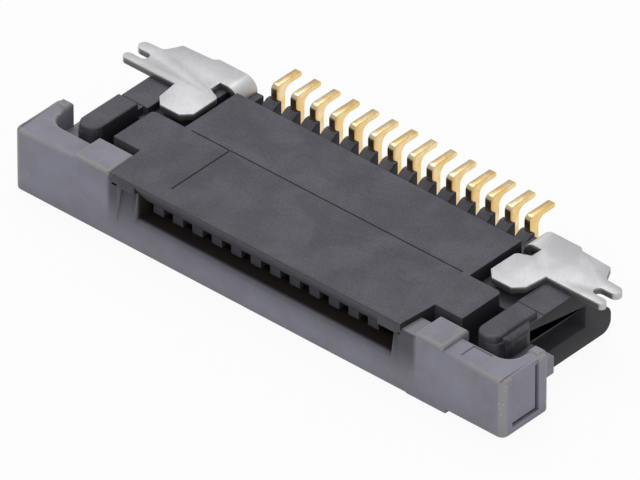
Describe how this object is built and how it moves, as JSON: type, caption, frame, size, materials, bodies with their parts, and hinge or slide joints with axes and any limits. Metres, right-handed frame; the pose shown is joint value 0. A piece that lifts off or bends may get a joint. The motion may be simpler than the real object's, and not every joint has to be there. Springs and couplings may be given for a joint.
{
  "type": "FPC connector",
  "caption": "Low-profile surface-mount FPC connector with a black housing, a grey slider lock, gold contacts and silver solder nails.",
  "frame": {"origin": "middle of the footprint, on the surface that the cover side rests on", "axes": "+X along the contact row, -Y the mouth where the flexible cable enters, +Z the solder side"},
  "size_m": [0.0125, 0.005, 0.0016],
  "materials": {
    "housing_resin": "matt black moulded resin",
    "slider_resin": "matt grey moulded resin",
    "gold_plate": "gold-plated stamped contact",
    "tin_plate": "matt tin-plated stamped sheet"
  },
  "bodies": {
    "housing_body": {"housing": "housing_resin", "solder_nail_left": "tin_plate", "solder_nail_right": "tin_plate", "contact_01": "gold_plate", "contact_02": "gold_plate", "contact_03": "gold_plate", "contact_04": "gold_plate", "contact_05": "gold_plate", "contact_06": "gold_plate", "contact_07": "gold_plate", "contact_08": "gold_plate", "contact_09": "gold_plate", "contact_10": "gold_plate", "contact_11": "gold_plate", "contact_12": "gold_plate", "contact_13": "gold_plate", "contact_14": "gold_plate"},
    "slider_body": {"slider": "slider_resin"}
  },
  "joints": [
    {"name": "slider_slide", "type": "slide", "parent": "housing_body", "child": "slider_body", "axis": [0, -1, 0], "range_m": [0, 0.0008]}
  ]
}
